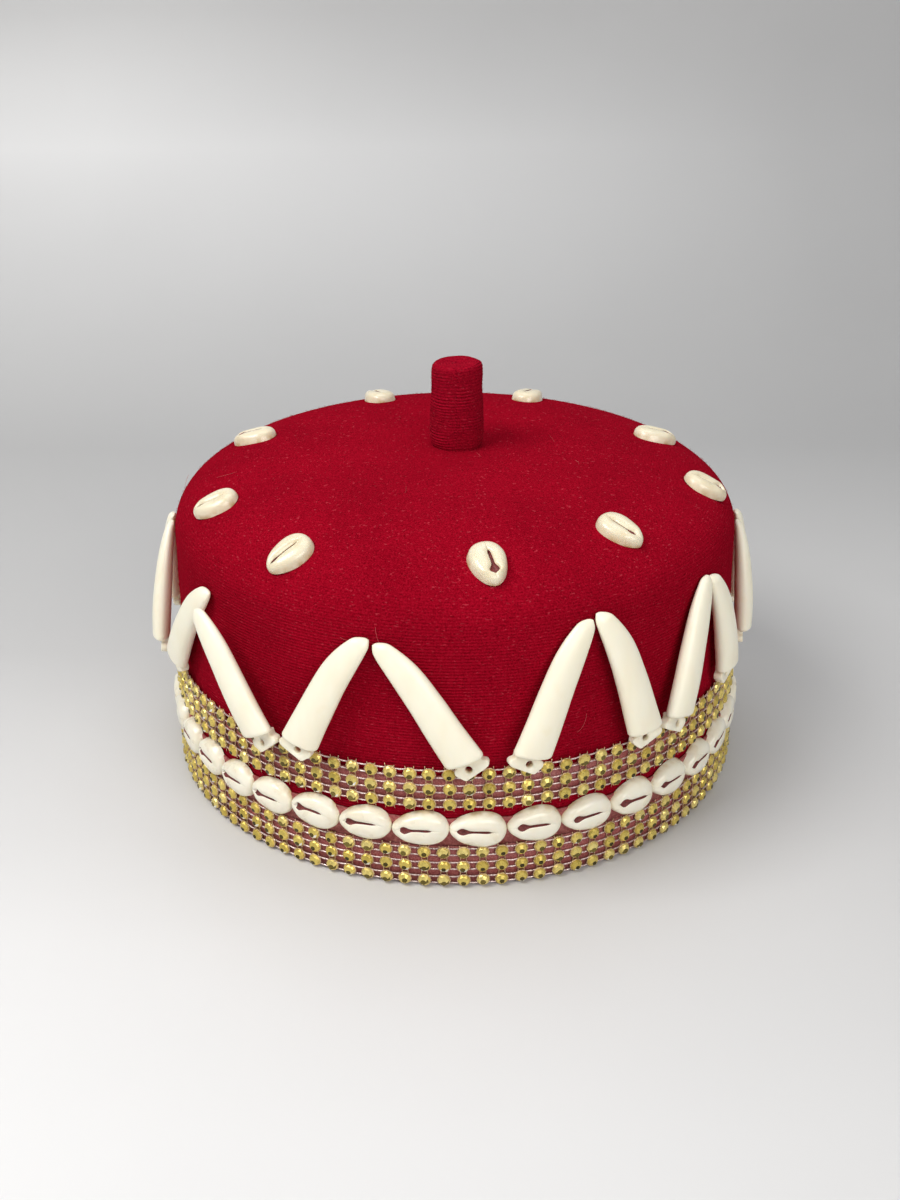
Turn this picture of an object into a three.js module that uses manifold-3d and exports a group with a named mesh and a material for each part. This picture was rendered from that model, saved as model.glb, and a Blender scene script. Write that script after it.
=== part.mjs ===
// A round red felt cap: a straight-sided crown with a low dome and a wound stem on top,
// trimmed with two bands of set stones, a ring of cowries between them, nine loose
// cowries on the dome, and pairs of tusk beads leaning together round the wall.
// Millimetres, +Z up, the front at -Y. Azimuths are in degrees, 0 at the front and
// growing towards +X. The origin is on the cap's axis, in the plane of its rim.
import * as THREE from 'three'
import { mergeVertices } from 'three/addons/utils/BufferGeometryUtils.js'
import Module from 'manifold-3d'

const wasm = await Module()
wasm.setup()

// Felt crown
const rimRadius = 94.4
const shoulderRadius = 91.0
const shoulderHeight = 79.6
const crownHeight = 102.2
const feltThickness = 2.2
const domeSideRoundness = 4.0
const domeTopRoundness = 2.15

// Wound stem
const stemRadius = 8.4
const stemHeight = 26.3
const stemOffset = 0.8

// Stone bands: three rows of set stones on a net
const netThickness = 0.7
const stoneHeight = 2.3
const stoneWidth = 3.4
const rowPitch = 4.8
const netMargin = 1.9
const lowerBandBottom = 0.4
const upperBandBottom = 26.4

// Cowries, their backs cut off flat
const domeCowrieLength = 14.6
const ringCowrieLength = 15.7
const cowrieWidth = 11.0
const cowrieHeight = 3.8
const ringCowrieCount = 38
const ringCowrieAzimuth = -5.9
const ringCentreHeight = 19.6
const ringStripHeight = 8.8
const ringStripThickness = 0.6

// Tusk beads
const tuskLength = 47
const tuskWidth = 11.5
const tuskThickness = 6
const lugLength = 4.4
const lugWidth = 10.2
const lugThickness = 2.7
const lugHoleRadius = 1.0
const lugHoleAcross = 0.19
const lugHoleAlong = 0.66
const lugTongue = 0.9
const neckLength = 0.95
const footTurn = 9.3
const lugFootHeight = 39.3

// Spacing and meshing
const gap = 0.3
const roundSides = 48
const domeSteps = 7
const cowrieSides = 10
const tuskSides = 8
const stemSides = 18

const felt = new THREE.MeshStandardMaterial({ color: 0x960a20, roughness: 0.95, metalness: 0 })
const gold = new THREE.MeshStandardMaterial({ color: 0xb8903a, roughness: 0.3, metalness: 0.8 })
const shell = new THREE.MeshStandardMaterial({ color: 0xece6d2, roughness: 0.3, metalness: 0 })
const horn = new THREE.MeshStandardMaterial({ color: 0xf3e9d2, roughness: 0.35, metalness: 0 })

// Turns an outline of [radius, height] points about Z. Outlines run anticlockwise.
function turn(outline, sides) {
  const points = outline.map(([radius, height]) => new THREE.Vector2(radius, height))
  return new THREE.LatheGeometry(points, sides).rotateX(Math.PI / 2)
}

function toSolid(geometry) {
  const bare = geometry.clone()
  bare.deleteAttribute('normal')
  bare.deleteAttribute('uv')
  const merged = mergeVertices(bare)
  const index = merged.index.array
  const triangles = []
  for (let i = 0; i < index.length; i += 3) {
    const [a, b, c] = [index[i], index[i + 1], index[i + 2]]
    if (a !== b && b !== c && c !== a) triangles.push(a, b, c)
  }
  const vertProperties = new Float32Array(merged.attributes.position.array)
  const mesh = new wasm.Mesh({ numProp: 3, vertProperties, triVerts: new Uint32Array(triangles) })
  return new wasm.Manifold(mesh)
}

function toGeometry(solid) {
  const mesh = solid.getMesh()
  const geometry = new THREE.BufferGeometry()
  geometry.setAttribute('position', new THREE.BufferAttribute(mesh.vertProperties, 3))
  geometry.setIndex(new THREE.BufferAttribute(mesh.triVerts, 1))
  return geometry
}

// The outside of the wall, straight from the rim to the shoulder
function wallRadius(height) {
  return rimRadius + (shoulderRadius - rimRadius) * height / shoulderHeight
}

// The dome is a quarter of a superellipse. Turned inwards by a depth, it is the inside face.
function domePoint(share, depth) {
  const angle = share * Math.PI / 2
  const radius = (shoulderRadius - depth) * Math.cos(angle) ** (2 / domeSideRoundness)
  const rise = (crownHeight - shoulderHeight - depth) * Math.sin(angle) ** (2 / domeTopRoundness)
  return [share === 1 ? 0 : radius, shoulderHeight + rise]
}

function domeHeight(radius) {
  const fall = (radius / shoulderRadius) ** domeSideRoundness
  return shoulderHeight + (crownHeight - shoulderHeight) * (1 - fall) ** (1 / domeTopRoundness)
}

function crownGeometry() {
  const inside = []
  const outside = []
  for (let step = 0; step <= domeSteps; step += 1) {
    outside.push(domePoint(step / domeSteps, 0))
    inside.unshift(domePoint(step / domeSteps, feltThickness))
  }
  const rim = [[rimRadius - feltThickness, 0], [rimRadius, 0]]
  return turn([...inside, ...rim, ...outside], roundSides)
}

// Thread wound on a core: full at the foot, where it is tucked in, and rounded at the top
function stemGeometry() {
  const sections = [
    { height: 0, radius: 0 },
    { height: 0, radius: 0.9 },
    { height: 0.07, radius: 1 },
    { height: 0.3, radius: 1.02 },
    { height: 0.75, radius: 0.97 },
    { height: 0.93, radius: 0.95 },
    { height: 0.99, radius: 0.82 },
    { height: 1, radius: 0 },
  ]
  const outline = sections.map(({ height, radius }) => [radius * stemRadius, height * stemHeight])
  return turn(outline, stemSides)
}

// A net laid round the wall, with a rounded ridge for each row of stones
function stoneBandGeometry(bottom) {
  const top = bottom + 2 * netMargin + 2 * rowPitch
  const inner = (height) => wallRadius(height) + gap
  const net = (height) => inner(height) + netThickness
  const outline = [[inner(bottom), bottom], [net(bottom), bottom]]
  for (let row = 0; row < 3; row += 1) {
    const centre = bottom + netMargin + row * rowPitch
    outline.push([net(centre) + stoneHeight, centre - stoneWidth / 4])
    outline.push([net(centre) + stoneHeight, centre + stoneWidth / 4])
    if (row < 2) outline.push([net(centre) + stoneHeight * 0.2, centre + rowPitch / 2])
  }
  outline.push([net(top), top], [inner(top), top], [inner(bottom), bottom])
  return turn(outline, roundSides)
}

// One cowrie: flat below, egg-shaped, its narrow end at -X
function cowrieGeometry(length) {
  const sections = [
    { radius: 0, height: 0 },
    { radius: 0.95, height: 0 },
    { radius: 1, height: 0.3 },
    { radius: 0.74, height: 0.84 },
    { radius: 0, height: 1 },
  ]
  const narrowing = 0.18
  const geometry = turn(sections.map(({ radius, height }) => [radius, height]), cowrieSides)
  const position = geometry.attributes.position
  for (let i = 0; i < position.count; i += 1) {
    const along = position.getX(i)
    const across = position.getY(i) * (1 + narrowing * along)
    position.setX(i, along * length / 2)
    position.setY(i, across * cowrieWidth / 2)
    position.setZ(i, position.getZ(i) * cowrieHeight)
  }
  return geometry
}

// A frame on the cap: X to the right as seen from outside, Y up the surface, Z outwards.
// The slope is the angle from a level normal to an upright one, in degrees.
function frameOnCap(azimuth, radius, height, slope) {
  const turnAngle = THREE.MathUtils.degToRad(azimuth)
  const tilt = THREE.MathUtils.degToRad(slope)
  const level = new THREE.Vector3(Math.sin(turnAngle), -Math.cos(turnAngle), 0)
  const right = new THREE.Vector3(Math.cos(turnAngle), Math.sin(turnAngle), 0)
  const up = new THREE.Vector3(0, 0, 1)
  const outward = level.clone().multiplyScalar(Math.cos(tilt)).addScaledVector(up, Math.sin(tilt))
  const along = new THREE.Vector3().crossVectors(outward, right)
  const place = level.clone().multiplyScalar(radius).setZ(height)
  return new THREE.Matrix4().makeBasis(right, along, outward).setPosition(place)
}

// The ring of cowries, each sunk a little into the strip that carries them all
function cowrieRingGeometry() {
  const bottom = lowerBandBottom + 2 * netMargin + 2 * rowPitch + gap
  const top = bottom + ringStripHeight
  const inner = (height) => wallRadius(height) + gap
  const outer = (height) => inner(height) + ringStripThickness
  const outline = [
    [inner(bottom), bottom],
    [outer(bottom), bottom],
    [outer(top), top],
    [inner(top), top],
    [inner(bottom), bottom],
  ]
  const sunk = ringStripThickness / 2
  const wallLean = THREE.MathUtils.radToDeg(Math.atan2(rimRadius - shoulderRadius, shoulderHeight))
  const cowrie = cowrieGeometry(ringCowrieLength)
  let ring = toSolid(turn(outline, roundSides))
  for (let i = 0; i < ringCowrieCount; i += 1) {
    const azimuth = ringCowrieAzimuth + i * 360 / ringCowrieCount
    const radius = outer(ringCentreHeight) - sunk
    const frame = frameOnCap(azimuth, radius, ringCentreHeight, wallLean)
    ring = ring.add(toSolid(cowrie.clone().applyMatrix4(frame)))
  }
  return toGeometry(ring)
}

// The nine cowries on the dome. Turned is the angle of the narrow, outer end
// from straight outwards, in degrees towards +X as seen from outside.
const domeCowries = [
  { azimuth: -154, radius: 62.5, turned: 0 },
  { azimuth: -103.5, radius: 69, turned: 12 },
  { azimuth: -64.5, radius: 79.7, turned: -20 },
  { azimuth: -34, radius: 82, turned: -24 },
  { azimuth: 6.3, radius: 78.8, turned: 10 },
  { azimuth: 37.7, radius: 75.6, turned: 15 },
  { azimuth: 75.3, radius: 80.5, turned: 8 },
  { azimuth: 102.8, radius: 69.2, turned: -12 },
  { azimuth: 154, radius: 62.5, turned: 0 },
]

function domeCowrieMatrix({ azimuth, radius, turned }) {
  const step = 0.5
  const fall = domeHeight(radius - step) - domeHeight(radius + step)
  const slope = THREE.MathUtils.radToDeg(Math.atan2(2 * step, fall))
  const frame = frameOnCap(azimuth, radius, domeHeight(radius), slope)
  const spin = new THREE.Matrix4().makeRotationZ(Math.PI / 2 + THREE.MathUtils.degToRad(turned))
  const lift = new THREE.Matrix4().makeTranslation(0, 0, gap)
  return frame.multiply(lift).multiply(spin)
}

// One tusk bead: its flat back at Z = 0, the point of its foot at the origin and its tip up +Y.
// Inner and outer are how far it reaches to each side of the line from foot to tip. Its curve
// turns the foot end by a few degrees, so that the lug lies mostly on the outer side.
function tuskGeometry(innerSide, length) {
  const sections = [
    { along: 0, inner: 0.24, outer: 0.74, thick: 0.93 },
    { along: 0.24, inner: 0.19, outer: 0.71, thick: 1 },
    { along: 0.5, inner: 0.14, outer: 0.69, thick: 0.93 },
    { along: 0.74, inner: 0.13, outer: 0.61, thick: 0.76 },
    { along: 0.94, inner: 0.12, outer: 0.36, thick: 0.48 },
    { along: 1, inner: 0.05, outer: 0.15, thick: 0.25 },
  ]
  const root = lugLength + neckLength
  const tongueEnd = (root + lugTongue) / lugLength
  const turned = THREE.MathUtils.degToRad(footTurn)
  const steps = sections.length - 1
  const body = new THREE.CylinderGeometry(1, 1, 1, tuskSides, steps)
  const position = body.attributes.position
  for (let i = 0; i < position.count; i += 1) {
    const section = sections[Math.round((position.getY(i) + 0.5) * steps)]
    const centre = innerSide * (section.inner - section.outer) / 2
    const half = (section.inner + section.outer) / 2
    const across = (centre + half * position.getX(i)) * tuskWidth
    const slant = innerSide * across * Math.tan(turned) * (1 - section.along)
    position.setX(i, across)
    position.setZ(i, (1 + position.getZ(i)) / 2 * section.thick * tuskThickness)
    position.setY(i, root + section.along * (length - root) + slant)
  }
  // Across as a share of the lug's width, and along as a share of its length
  const lugOutline = [
    [0, 0],
    [0.18, 0.4],
    [0.22, 0.66],
    [0.15, 1],
    [0.15, tongueEnd],
    [-0.71, tongueEnd],
    [-0.71, 1],
    [-0.78, 0.66],
    [-0.72, 0.45],
  ]
  const corners = lugOutline.map(([x, y]) => new THREE.Vector2(innerSide * x * lugWidth, y * lugLength))
  const plate = new THREE.Shape(corners)
  const holeX = -innerSide * lugHoleAcross * lugWidth
  const holeY = lugHoleAlong * lugLength
  const clockwise = innerSide > 0
  const hole = new THREE.Path().absarc(holeX, holeY, lugHoleRadius, 0, 2 * Math.PI, clockwise)
  plate.holes.push(hole)
  const lug = new THREE.ExtrudeGeometry(plate, {
    depth: lugThickness,
    bevelEnabled: false,
    curveSegments: 3,
  })
  lug.rotateZ(innerSide * turned)
  return toGeometry(toSolid(body).add(toSolid(lug)))
}

// Ten pairs of tusks, whose tips meet on the felt. For the left and the right tusk of a pair,
// spread is the azimuth from the meeting tips to its foot, length is a share of the full
// length, and rise is how far the foot stands above its usual height, as a share of the lug.
// Where the right tusk lies over the left one, its tip is lifted by a share of the thickness.
const tuskPairs = [
  { azimuth: -14.4, spread: [11.9, 16.1], length: [0.925, 0.975], rise: [0, 0], rightOver: false },
  { azimuth: 23.8, spread: [11.7, 8.1], length: [0.975, 0.965], rise: [0.12, 0.1], rightOver: false },
  { azimuth: 53.1, spread: [12.4, 5.5], length: [0.985, 0.845], rise: [0, 0.45], rightOver: false },
  { azimuth: 84.4, spread: [8.3, 11], length: [0.85, 0.96], rise: [0.45, 0], rightOver: false },
  { azimuth: 122.6, spread: [12, 12], length: [0.96, 0.97], rise: [0, 0], rightOver: false },
  { azimuth: 160.9, spread: [12, 12], length: [0.97, 0.96], rise: [0, 0], rightOver: false },
  { azimuth: 199.1, spread: [12, 12], length: [0.96, 0.97], rise: [0, 0], rightOver: false },
  { azimuth: 237.4, spread: [12, 12], length: [0.97, 0.96], rise: [0, 0], rightOver: false },
  { azimuth: 275.6, spread: [11, 8.3], length: [0.96, 0.91], rise: [0, 0], rightOver: false },
  { azimuth: 309.8, spread: [14.6, 16.2], length: [0.908, 0.965], rise: [0.45, -0.3], rightOver: true },
]
const tipSpacing = 0.4
const tipLift = 0.5
const overShare = 0.85
const feltSeatLift = 1.8
const seatClearance = 1

function pointOnCap(azimuth, radius, height) {
  const angle = THREE.MathUtils.degToRad(azimuth)
  return new THREE.Vector3(radius * Math.sin(angle), -radius * Math.cos(angle), height)
}

function tuskMatrix(pair, side) {
  const which = side < 0 ? 0 : 1
  const footAzimuth = pair.azimuth + side * pair.spread[which]
  const length = pair.length[which] * tuskLength
  const isOver = pair.rightOver && side > 0
  const footHeight = lugFootHeight + pair.rise[which] * lugLength
  const tipAzimuth = pair.azimuth + (isOver ? 0 : side * tipSpacing)
  const lift = isOver ? tipLift + overShare * tuskThickness + gap : tipLift
  const bandTop = upperBandBottom + 2 * netMargin + 2 * rowPitch
  const onFelt = footHeight > bandTop + gap
  const seatHeight = onFelt ? footHeight : bandTop - netMargin + stoneWidth / 4
  const seatLift = onFelt ? feltSeatLift : gap + netThickness + stoneHeight + seatClearance
  const seatRadius = wallRadius(seatHeight) + seatLift
  let foot = pointOnCap(footAzimuth, seatRadius, footHeight)
  let tip = pointOnCap(tipAzimuth, seatRadius, footHeight + length)
  for (let pass = 0; pass < 8; pass += 1) {
    const tipRadius = wallRadius(tip.z) + lift
    const lean = (seatRadius - tipRadius) / (tip.z - seatHeight)
    const footRadius = seatRadius + lean * (seatHeight - footHeight)
    foot = pointOnCap(footAzimuth, footRadius, footHeight)
    tip = pointOnCap(tipAzimuth, tipRadius, tip.z)
    const sideways = Math.hypot(tip.x - foot.x, tip.y - foot.y)
    tip.z = foot.z + Math.sqrt(length ** 2 - sideways ** 2)
  }
  const along = tip.clone().sub(foot).normalize()
  const facing = pointOnCap(footAzimuth + 0.2 * (tipAzimuth - footAzimuth), 1, 0)
  const across = new THREE.Vector3().crossVectors(along, facing).normalize()
  const outward = new THREE.Vector3().crossVectors(across, along)
  return new THREE.Matrix4().makeBasis(across, along, outward).setPosition(foot)
}

function addMesh(parent, name, geometry, material, matrix = new THREE.Matrix4()) {
  const mesh = new THREE.Mesh(geometry, material)
  mesh.name = name
  mesh.applyMatrix4(matrix)
  parent.add(mesh)
}

function numbered(name, index) {
  return `${name}_${String(index).padStart(2, '0')}`
}

const cap = new THREE.Group()
cap.name = 'chief_cap'

addMesh(cap, 'crown', crownGeometry(), felt)
const onCrown = new THREE.Matrix4().makeTranslation(stemOffset, 0, crownHeight + gap)
addMesh(cap, 'stem', stemGeometry(), felt, onCrown)
addMesh(cap, 'lower_stone_band', stoneBandGeometry(lowerBandBottom), gold)
addMesh(cap, 'upper_stone_band', stoneBandGeometry(upperBandBottom), gold)
addMesh(cap, 'cowrie_ring', cowrieRingGeometry(), shell)

domeCowries.forEach((place, index) => {
  const name = numbered('dome_cowrie', index + 1)
  addMesh(cap, name, cowrieGeometry(domeCowrieLength), shell, domeCowrieMatrix(place))
})

tuskPairs.forEach((pair, index) => {
  const leftName = numbered('left_tusk', index + 1)
  const rightName = numbered('right_tusk', index + 1)
  const [leftLength, rightLength] = pair.length.map((share) => share * tuskLength)
  addMesh(cap, leftName, tuskGeometry(1, leftLength), horn, tuskMatrix(pair, -1))
  addMesh(cap, rightName, tuskGeometry(-1, rightLength), horn, tuskMatrix(pair, 1))
})

export default cap
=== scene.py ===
"""A round red felt cap with a wound stem, stone bands, cowries and tusk beads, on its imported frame.

Sizes are in millimetres, +Z up, the front at -Y. Azimuths are 0 at the front and grow towards +X.
"""
import random
from math import atan2, copysign, cos, exp, hypot, pi, radians, sin, sqrt, tan

import bmesh
import bpy
from mathutils import Matrix, Vector, noise


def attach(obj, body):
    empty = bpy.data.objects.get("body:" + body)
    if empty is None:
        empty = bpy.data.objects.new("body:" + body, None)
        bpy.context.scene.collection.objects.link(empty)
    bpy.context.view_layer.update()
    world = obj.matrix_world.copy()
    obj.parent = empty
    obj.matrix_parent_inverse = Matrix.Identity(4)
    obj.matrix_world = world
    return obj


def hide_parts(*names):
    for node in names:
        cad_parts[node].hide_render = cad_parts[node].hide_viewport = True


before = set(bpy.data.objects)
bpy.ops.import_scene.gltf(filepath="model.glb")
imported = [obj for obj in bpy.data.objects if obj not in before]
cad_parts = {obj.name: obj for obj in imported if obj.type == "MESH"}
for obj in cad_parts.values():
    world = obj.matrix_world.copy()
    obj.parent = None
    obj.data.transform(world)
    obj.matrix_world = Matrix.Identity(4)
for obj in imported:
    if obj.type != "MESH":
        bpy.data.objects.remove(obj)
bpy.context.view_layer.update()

MM = 0.001
TURN = 2 * pi

# Felt crown
RIM_RADIUS = 94.4
SHOULDER_RADIUS = 91.0
SHOULDER_HEIGHT = 79.6
WALL_LEAN = atan2(RIM_RADIUS - SHOULDER_RADIUS, SHOULDER_HEIGHT)
CROWN_HEIGHT = 102.2
FELT_THICKNESS = 2.2
FELT_ROW = 0.95
FELT_ROW_END = 84
FELT_ROW_FADE = 20
DOME_SIDE_ROUNDNESS = 4.0
DOME_TOP_ROUNDNESS = 2.15
GAP = 0.3

# Wound stem
STEM_RADIUS = 8.4
STEM_HEIGHT = 26.3
STEM_OFFSET = 0.8
STEM_THREAD = 0.95

# Loose fibres
FELT_FIBRES = 6200
STRAY_EVERY = 260
STEM_FIBRES = 420
FIBRE_RADIUS = 0.036
STRAY_RADIUS = 0.045

# Stone bands
NET_THICKNESS = 0.7
STONE_WIDTH = 3.4
STONE_HEIGHT = 2.3
STONE_GIRDLE = 3.85
ROW_PITCH = 4.8
NET_MARGIN = 1.9
LOWER_BAND_BOTTOM = 0.4
UPPER_BAND_BOTTOM = 26.4
STONE_COLUMNS = 106
LOWER_FIRST_COLUMN = -0.633
UPPER_FIRST_COLUMN = -0.616
STONE_FACETS = 8
STONE_TILT = 0.12
GLINT_SHARE = 0.28
SEAT_LIFT = 0.55
SEAT_RADIUS = 1.9
SEAT_WIRE = 0.2
PRONG_WIRE = 0.14
TWIST_LIFT = 0.62
TWIST_SIDE = 1.22
TWIST_THICK = 0.28
TWIST_THIN = 0.2
TWISTS_PER_STONE = 6

# Cowries
COWRIE_LENGTH = 14.6
RING_COWRIE_LENGTH = 15.7
COWRIE_WIDTH = 11.0
COWRIE_HEIGHT = 3.8
RING_COWRIE_COUNT = 38
RING_COWRIE_AZIMUTH = -5.9
RING_CENTRE_HEIGHT = 19.6
RING_DRIFT = radians(0.95)
RING_DRIFT_WAVES = 3
RING_DRIFT_AZIMUTH = radians(3)
RING_STRIP_BOTTOM = 14.1
RING_STRIP_HEIGHT = 8.8
RING_STRIP_THICKNESS = 0.6

# Tusk beads
TUSK_LENGTH = 47
TUSK_WIDTH = 11.5
TUSK_THICKNESS = 6
LUG_LENGTH = 4.4
LUG_WIDTH = 10.2
LUG_THICKNESS = 2.7
LUG_HOLE_RADIUS = 1.0
LUG_HOLE_ACROSS = 0.19 * LUG_WIDTH
LUG_HOLE_ALONG = 0.66 * LUG_LENGTH
NECK_LENGTH = 0.95
FOOT_TURN = radians(9.3)
LUG_FOOT_HEIGHT = 39.3
TIP_SPACING = 0.4
TIP_LIFT = 0.5
OVER_SHARE = 0.85
FELT_SEAT_LIFT = 1.8
SEAT_CLEARANCE = 1


def smooth_step(low, high, value):
    """0 below low, 1 above high, and an even curve between them."""
    share = min(max((value - low) / (high - low), 0.0), 1.0)
    return share * share * (3 - 2 * share)


def full_turn(count):
    """Angles at even steps round a full turn."""
    return [TURN * number / count for number in range(count)]


def lump(place, size):
    """Smooth noise from -1 to 1 with lumps of about this size."""
    return noise.noise(Vector(place) / size)


def new_object(name, data):
    """An object in the scene, with this mesh, lamp or camera."""
    made = bpy.data.objects.new(name, data)
    bpy.context.scene.collection.objects.link(made)
    return made


# Shapes


class Shape:
    """Points and faces of one piece, gathered bit by bit."""

    def __init__(self):
        self.points = []
        self.faces = []
        self.kinds = []
        self.smooth = []
        self.tones = []
        self.rows = []

    def add(self, points, faces, kind=0, smooth=True, tone=0.0, row=0.0):
        """One bit: its points, and its faces as numbers into those points."""
        first = len(self.points)
        self.points.extend(points)
        self.tones.extend(tone if isinstance(tone, list) else [tone] * len(points))
        self.rows.extend(row if isinstance(row, list) else [row] * len(points))
        self.faces.extend([first + corner for corner in face] for face in faces)
        self.kinds.extend(kind if isinstance(kind, list) else [kind] * len(faces))
        self.smooth.extend([smooth] * len(faces))

    def sheet(self, lines, closed=True, ends=(False, False), looped=False, **finish):
        """Joins neighbouring lines of points with four-sided faces."""
        count = len(lines[0])
        points = [point for line in lines for point in line]
        faces = []
        steps = len(lines) if looped else len(lines) - 1
        for i in range(steps):
            here = i * count
            there = (i + 1) % len(lines) * count
            for j in range(count if closed else count - 1):
                k = (j + 1) % count
                faces.append([here + j, here + k, there + k, there + j])
        if ends[0]:
            faces.append(list(range(count))[::-1])
        if ends[1]:
            faces.append([(len(lines) - 1) * count + j for j in range(count)])
        self.add(points, faces, **finish)

    def tube(self, path, radius, sides=5, looped=False, **finish):
        """A round rod along a path. Its radius is one number, or one for each point."""
        lines = []
        count = len(path)
        for i, point in enumerate(path):
            after = path[(i + 1) % count] if looped or i + 1 < count else point
            before = path[i - 1] if looped or i > 0 else point
            along = (after - before).normalized()
            steep = abs(along.z) >= 0.9
            guide = Vector((point.x, point.y, 0)).normalized() if steep else Vector((0, 0, 1))
            across = along.cross(guide).normalized()
            up = across.cross(along)
            size = radius[i] if isinstance(radius, list) else radius
            lines.append([point + (across * cos(a) + up * sin(a)) * size for a in full_turn(sides)])
        self.sheet(lines, looped=looped, ends=(not looped, not looped), **finish)

    def build(self, name, materials, tones=False, rows=False):
        """Makes the object, with its tones and rows as attributes where its paint reads them."""
        mesh = bpy.data.meshes.new(name)
        mesh.from_pydata([point * MM for point in self.points], [], self.faces)
        for material in materials:
            mesh.materials.append(material)
        mesh.polygons.foreach_set("material_index", self.kinds)
        mesh.polygons.foreach_set("use_smooth", self.smooth)
        for wanted, title, values in ((tones, "tone", self.tones), (rows, "row", self.rows)):
            if wanted:
                mesh.attributes.new(title, "FLOAT", "POINT").data.foreach_set("value", values)
        work = bmesh.new()
        work.from_mesh(mesh)
        bmesh.ops.recalc_face_normals(work, faces=work.faces)
        work.to_mesh(mesh)
        work.free()
        return new_object(name, mesh)

    def piece(self, name, materials, slot_name, nodes=(), **finish):
        """Makes the object, rides it on the cap and hides the CAD nodes that it stands for."""
        made = self.build(name, materials, **finish)
        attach(made, "root")
        if nodes:
            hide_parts(*nodes)


def wall_radius(height):
    """The outside of the wall, straight from the rim to the shoulder."""
    return RIM_RADIUS + (SHOULDER_RADIUS - RIM_RADIUS) * height / SHOULDER_HEIGHT


def trim_radius(height):
    """The inner face of what is fixed to the wall, a gap away from it."""
    return wall_radius(height) + GAP


def dome_height(radius):
    """The outside of the dome."""
    fall = min(radius / SHOULDER_RADIUS, 1) ** DOME_SIDE_ROUNDNESS
    return SHOULDER_HEIGHT + (CROWN_HEIGHT - SHOULDER_HEIGHT) * (1 - fall) ** (1 / DOME_TOP_ROUNDNESS)


def on_cap(azimuth, radius, height):
    """The point at an azimuth in radians."""
    return Vector((radius * sin(azimuth), -radius * cos(azimuth), height))


def frame_on_cap(azimuth, radius, height, slope):
    """X to the right as seen from outside, Y up the surface, Z outwards. Angles are in radians."""
    level = on_cap(azimuth, 1, 0)
    right = Vector((cos(azimuth), sin(azimuth), 0))
    outward = level * cos(slope) + Vector((0, 0, 1)) * sin(slope)
    along = outward.cross(right)
    place = level * radius + Vector((0, 0, height))
    return Matrix.Translation(place) @ Matrix((right, along, outward)).transposed().to_4x4()


# Materials


class Paint:
    """One node material, built step by step. Positions are in millimetres."""

    def __init__(self, name, roughness, metallic=0.0):
        self.material = bpy.data.materials.new(name)
        self.material.use_nodes = True
        self.tree = self.material.node_tree
        self.surface = self.tree.nodes["Principled BSDF"]
        self.put(self.surface.inputs["Roughness"], roughness)
        self.put(self.surface.inputs["Metallic"], metallic)
        place = self.add("ShaderNodeTexCoord").outputs["Object"]
        in_mm = {0: place, "Scale": 1 / MM}
        self.place = self.add("ShaderNodeVectorMath", in_mm, operation="SCALE").outputs[0]

    def put(self, socket, value):
        """A value for a socket, or a link to it."""
        if isinstance(value, bpy.types.NodeSocket):
            self.tree.links.new(value, socket)
        else:
            socket.default_value = value

    def add(self, kind, inputs=None, **settings):
        node = self.tree.nodes.new(kind)
        for name, value in settings.items():
            setattr(node, name, value)
        for name, value in (inputs or {}).items():
            self.put(node.inputs[name], value)
        return node

    def set(self, **inputs):
        """Shader sockets by name, with underscores for spaces."""
        for name, value in inputs.items():
            self.put(self.surface.inputs[name.replace("_", " ")], value)

    def noise(self, size, detail=2.0, roughness=0.5, stretch=None):
        """Noise from 0 to 1 with lumps of about this size in millimetres."""
        where = self.place
        if stretch:
            inputs = {0: where, 1: stretch}
            where = self.add("ShaderNodeVectorMath", inputs, operation="MULTIPLY").outputs[0]
        inputs = {"Vector": where, "Scale": 1 / size, "Detail": detail, "Roughness": roughness}
        return self.add("ShaderNodeTexNoise", inputs).outputs[0]

    def attribute(self, name):
        return self.add("ShaderNodeAttribute", attribute_name=name).outputs["Fac"]

    def sum(self, operation, first, second=0.0, third=0.0, clamp=False):
        inputs = {0: first, 1: second, 2: third}
        return self.add("ShaderNodeMath", inputs, operation=operation, use_clamp=clamp).outputs[0]

    def scaled(self, value, by, plus=0.0, clamp=False):
        """A value times another, plus a third."""
        return self.sum("MULTIPLY_ADD", value, by, plus, clamp)

    def ramp(self, factor, *stops):
        """A colour or shade from stops of (position, colour)."""
        node = self.add("ShaderNodeValToRGB", {"Fac": factor})
        bar = node.color_ramp.elements
        while len(bar) < len(stops):
            bar.new(0.5)
        for element, (position, colour) in zip(bar, stops):
            element.position = position
            shade = colour if isinstance(colour, tuple) else (colour, colour, colour)
            element.color = (*shade, 1)
        return node.outputs["Color"]

    def mix(self, factor, first, second, blend="MIX"):
        node = self.add("ShaderNodeMix", data_type="RGBA", blend_type=blend)
        for number, value in ((0, factor), (6, first), (7, second)):
            self.put(node.inputs[number], (*value, 1) if isinstance(value, tuple) else value)
        return node.outputs[2]

    def tint(self, colour, mask, share, other):
        """Moves a colour towards another by a share of the mask."""
        return self.mix(self.scaled(mask, share), colour, other)

    def bump(self, height, distance, strength=1.0, under=None):
        """Relief of this many millimetres."""
        inputs = {"Height": height, "Distance": distance * MM, "Strength": strength}
        if under:
            inputs["Normal"] = under
        return self.add("ShaderNodeBump", inputs).outputs["Normal"]


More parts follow.
